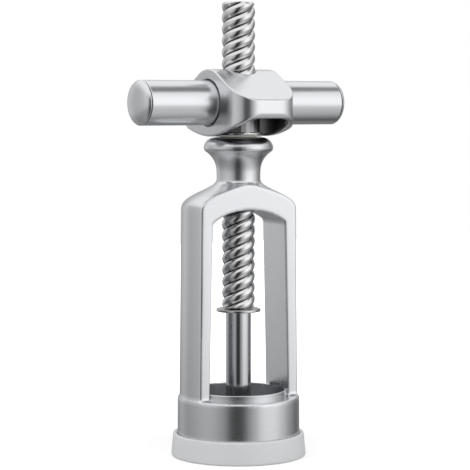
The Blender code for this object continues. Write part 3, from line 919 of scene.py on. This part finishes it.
# %% Worm
WIRE_RADIUS = 0.00125
WORM_RADIUS = 0.0031
WORM_PITCH = 0.0095
SHANK_RADIUS = 0.0022
SHANK_SHORT = 0.0001
WORM_START = 0.0540
WORM_TIP = 0.0060
TIP_SHARE = 0.12
SHANK_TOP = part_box("worm")[1][2]


def make_worm(around=20, per_turn=48):
    """Path: (s cos t, s sin t, start - pitch a / 360 degrees), with t = the spindle's turn - a.

    The spread s grows over the first half turn, so the wire leaves the axis smoothly. Over the
    last half turn the wire thins to the tip's share of its radius.
    """
    turns = (WORM_START - WORM_TIP) / WORM_PITCH
    a = np.linspace(0, math.tau * turns, round(turns * per_turn))
    s = WORM_RADIUS * np.minimum(a / math.pi, 1)
    turn = SPINDLE_TURN - a
    helix = np.stack([s * np.cos(turn), s * np.sin(turn),
                      WORM_START - WORM_PITCH * a / math.tau], axis=-1)
    shank = np.array([[0, 0, SHANK_TOP - SHANK_SHORT], [0, 0, WORM_START + SHANK_RADIUS]])
    path = np.vstack([shank, helix])
    way = np.concatenate([[0, 0], a])
    blend = np.clip(1 - way / math.pi, 0, 1)
    taper = np.minimum((a[-1] - way) / math.pi * (1 - TIP_SHARE) + TIP_SHARE, 1)
    radius = (WIRE_RADIUS + (SHANK_RADIUS - WIRE_RADIUS) * blend) * taper
    forward = np.gradient(path, axis=0)
    forward /= np.linalg.norm(forward, axis=1, keepdims=True)
    lean = SPINDLE_TURN - way
    out = np.stack([np.cos(lean), np.sin(lean), np.zeros_like(way)], axis=-1)
    out -= forward * np.sum(out * forward, axis=1, keepdims=True)
    out /= np.linalg.norm(out, axis=1, keepdims=True)
    side = np.cross(forward, out)
    round_wire = np.linspace(0, math.tau, around, endpoint=False)[None, :, None]
    ring = np.cos(round_wire) * out[:, None] + np.sin(round_wire) * side[:, None]
    points = path[:, None] + radius[:, None, None] * ring
    mesh = grid_mesh("worm_wire", points, cap_ends=True)
    add_piece("worm_wire", mesh, "spindle", "worm", WORM_STEEL)
    print("worm turns:", round(turns, 2))


make_worm()

# %% [markdown]
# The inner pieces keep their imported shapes. They show only through gaps and in the moved poses,
# so each gets a finish of its own kind and nothing more.

# %% Finishes of the inner pieces
INNER = {"guide_bush": BUSH_PLASTIC, "thrust_washer": WASHER_STEEL, "spindle_nut": NUT_STEEL,
         "grub_screw_front": FASTENER_STEEL, "grub_screw_back": FASTENER_STEEL,
         "bar_stud_left": FASTENER_STEEL, "bar_stud_right": FASTENER_STEEL,
         "worm_pin": FASTENER_STEEL}
for node, look in INNER.items():
    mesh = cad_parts[node].data
    mesh.materials.clear()
    mesh.materials.append(look)
print("inner pieces finished:", len(INNER))

# %% [markdown]
# Metal shows the room, so the room is half of its look. A large shell round the object glows by
# direction: dark behind the camera, a soft panel on each side of it with the right one brighter,
# dimmer behind the object and bright above, with a dark flag hung high on the right. Area lamps
# could do this too, but their edges would show in polished metal. The camera looks through the
# shell to plain white.

# %% Studio shell
SHELL_RADIUS = 1.6
SHELL_ROWS = 33
SHELL_SIDES = 64
PANEL_LEVEL = 1.2
AROUND = ((0.00, 0.38), (0.06, 0.36), (0.13, 0.58), (0.19, 0.42), (0.25, 0.48), (0.31, 0.58),
          (0.36, 0.58), (0.42, 0.42), (0.468, 0.05), (0.520, 0.05), (0.57, 0.48), (0.64, 1.05),
          (0.70, 1.05), (0.75, 0.75), (0.81, 0.40), (0.88, 0.16), (0.95, 0.38), (1.00, 0.38))
UPWARD = ((0.00, 0.50), (0.35, 0.52), (0.44, 0.58), (0.487, 0.97), (0.55, 1.0), (1.00, 1.0))
OVERHEAD = ((0.00, 0.0), (0.60, 0.0), (0.74, 1.0), (1.00, 1.0))
OVERHEAD_LEVEL = 1.05
FLAG_AROUND = ((0.66, 0.0), (0.72, 1.0), (0.82, 1.0), (0.88, 0.0))
FLAG_UPWARD = ((0.755, 0.0), (0.785, 1.0), (0.855, 1.0), (0.890, 0.0))
FLAG_DEPTH = 0.85


def ramp(tree, value, stops):
    """A smooth curve through (place, brightness) stops. Gives its output socket."""
    node = tree.nodes.new("ShaderNodeValToRGB")
    node.color_ramp.interpolation = "EASE"
    elements = node.color_ramp.elements
    while len(elements) < len(stops):
        elements.new(1)
    for element, (place, level) in zip(elements, stops):
        element.position = place
        element.color = (level, level, level, 1)
    tree.links.new(value, node.inputs["Fac"])
    return node.outputs["Color"]


def direction(tree):
    """Where a point lies round the object and how high, both as values from 0 to 1.

    Around is 0.5 toward the camera and rises to its right. Upward is 0.5 at the horizon.
    """
    place = object_place(tree)
    turn = tree.nodes.new("ShaderNodeMapping")
    turn.vector_type = "POINT"
    turn.inputs["Rotation"].default_value = (0, 0, -CAMERA_AZIMUTH)
    tree.links.new(place, turn.inputs["Vector"])
    unit = vector_node(tree, "NORMALIZE", turn.outputs["Vector"])
    split = tree.nodes.new("ShaderNodeSeparateXYZ")
    tree.links.new(unit.outputs["Vector"], split.inputs[0])
    toward = math_node(tree, "MULTIPLY", split.outputs["Y"], -1.0)
    angle = math_node(tree, "ARCTAN2", split.outputs["X"], toward)
    around = math_node(tree, "ADD", math_node(tree, "DIVIDE", angle, math.tau), 0.5)
    rise = math_node(tree, "ARCSINE", split.outputs["Z"])
    upward = math_node(tree, "ADD", math_node(tree, "DIVIDE", rise, math.pi), 0.5)
    return around, upward


def shell_material():
    """Emission by direction: panels around, a bright ceiling mixed in above, less the flag."""
    made = bpy.data.materials.new("studio_shell")
    made.use_nodes = True
    tree = made.node_tree
    tree.nodes.clear()
    around, upward = direction(tree)
    level = math_node(tree, "MULTIPLY", ramp(tree, around, AROUND), ramp(tree, upward, UPWARD))
    level = math_node(tree, "MULTIPLY", level, PANEL_LEVEL)
    mix = tree.nodes.new("ShaderNodeMix")
    tree.links.new(ramp(tree, upward, OVERHEAD), mix.inputs["Factor"])
    tree.links.new(level, mix.inputs["A"])
    mix.inputs["B"].default_value = OVERHEAD_LEVEL
    flag = math_node(tree, "MULTIPLY", ramp(tree, around, FLAG_AROUND),
                     ramp(tree, upward, FLAG_UPWARD))
    shade = math_node(tree, "SUBTRACT", 1.0, math_node(tree, "MULTIPLY", flag, FLAG_DEPTH))
    glow = tree.nodes.new("ShaderNodeEmission")
    strength = math_node(tree, "MULTIPLY", mix.outputs["Result"], shade)
    tree.links.new(strength, glow.inputs["Strength"])
    out = tree.nodes.new("ShaderNodeOutputMaterial")
    tree.links.new(glow.outputs[0], out.inputs["Surface"])
    return made


def make_shell():
    """A ball round the studio, seen only in reflections and as light."""
    t = np.linspace(-math.pi / 2, math.pi / 2, SHELL_ROWS)
    profile = SHELL_RADIUS * np.stack([np.cos(t), np.sin(t)], axis=-1)
    profile[[0, -1], 0] = 0
    mesh = turned("studio_shell", profile, closed=False, sides=SHELL_SIDES)
    mesh.materials.append(shell_material())
    shell = linked("studio_shell", mesh)
    shell.visible_camera = False
    shell.visible_shadow = False
    print("shell radius:", SHELL_RADIUS)


make_shell()

# %% [markdown]
# The floor is pale and takes a soft shadow. Seen by the camera it also glows, a little under the
# object and fully further off, so that it meets the white behind it without a line. The world is
# plain white to the camera and to glass, and one broad lamp gives the shadow its direction.

# %% Floor, world and lamp
FLOOR_HALF = 1.05
FLOOR_GREY = 0.85
FLOOR_ROUGHNESS = 0.9
FADE_REACH = (0.06, 0.30)
FADE_GLOW = (0.25, 1.0)
LAMP_SIZE = 0.9
LAMP_POWER = 3.0
LAMP_PLACE = (-0.3, -0.5, 1.3)
LAMP_TILT = (math.radians(22), math.radians(-13), 0)


def make_floor():
    """A flat pale floor under the foot, which the camera sees as near white."""
    corners = np.array([[-1, -1, 0], [1, -1, 0], [1, 1, 0], [-1, 1, 0]], float) * FLOOR_HALF
    mesh = bpy.data.meshes.new("floor")
    mesh.from_pydata(corners.tolist(), [], [(0, 1, 2, 3)])
    floor = linked("floor", mesh)
    made = bpy.data.materials.new("pale_floor")
    made.use_nodes = True
    tree = made.node_tree
    shader = tree.nodes["Principled BSDF"]
    shader.inputs["Base Color"].default_value = (FLOOR_GREY, FLOOR_GREY, FLOOR_GREY, 1)
    shader.inputs["Roughness"].default_value = FLOOR_ROUGHNESS
    shader.inputs["Specular IOR Level"].default_value = 0.0
    shader.inputs["Emission Color"].default_value = (1, 1, 1, 1)
    path = tree.nodes.new("ShaderNodeLightPath")
    fade = axis_fade(tree, *FADE_REACH, *FADE_GLOW)
    glow = math_node(tree, "MULTIPLY", path.outputs["Is Camera Ray"], fade)
    tree.links.new(glow, shader.inputs["Emission Strength"])
    mesh.materials.append(made)
    floor.visible_glossy = False


def make_world():
    """White to the camera, to reflections and through glass, and no source of light otherwise."""
    world = bpy.data.worlds.new("white")
    scene.world = world
    world.use_nodes = True
    tree = world.node_tree
    path = tree.nodes.new("ShaderNodeLightPath")
    seen = math_node(tree, "MAXIMUM", path.outputs["Is Camera Ray"], path.outputs["Is Glossy Ray"])
    seen = math_node(tree, "MAXIMUM", seen, path.outputs["Is Transmission Ray"])
    tree.nodes["Background"].inputs["Color"].default_value = (1, 1, 1, 1)
    tree.links.new(seen, tree.nodes["Background"].inputs["Strength"])


def make_lamp():
    """One broad lamp above and in front, kept out of the metal's reflections."""
    light = bpy.data.lights.new("top_lamp", "AREA")
    light.size, light.energy = LAMP_SIZE, LAMP_POWER
    lamp = bpy.data.objects.new("top_lamp", light)
    lamp.location, lamp.rotation_euler = LAMP_PLACE, LAMP_TILT
    lamp.visible_glossy = False
    scene.collection.objects.link(lamp)


make_floor()
make_world()
make_lamp()
scene.view_settings.view_transform = "Standard"
print("studio ready")
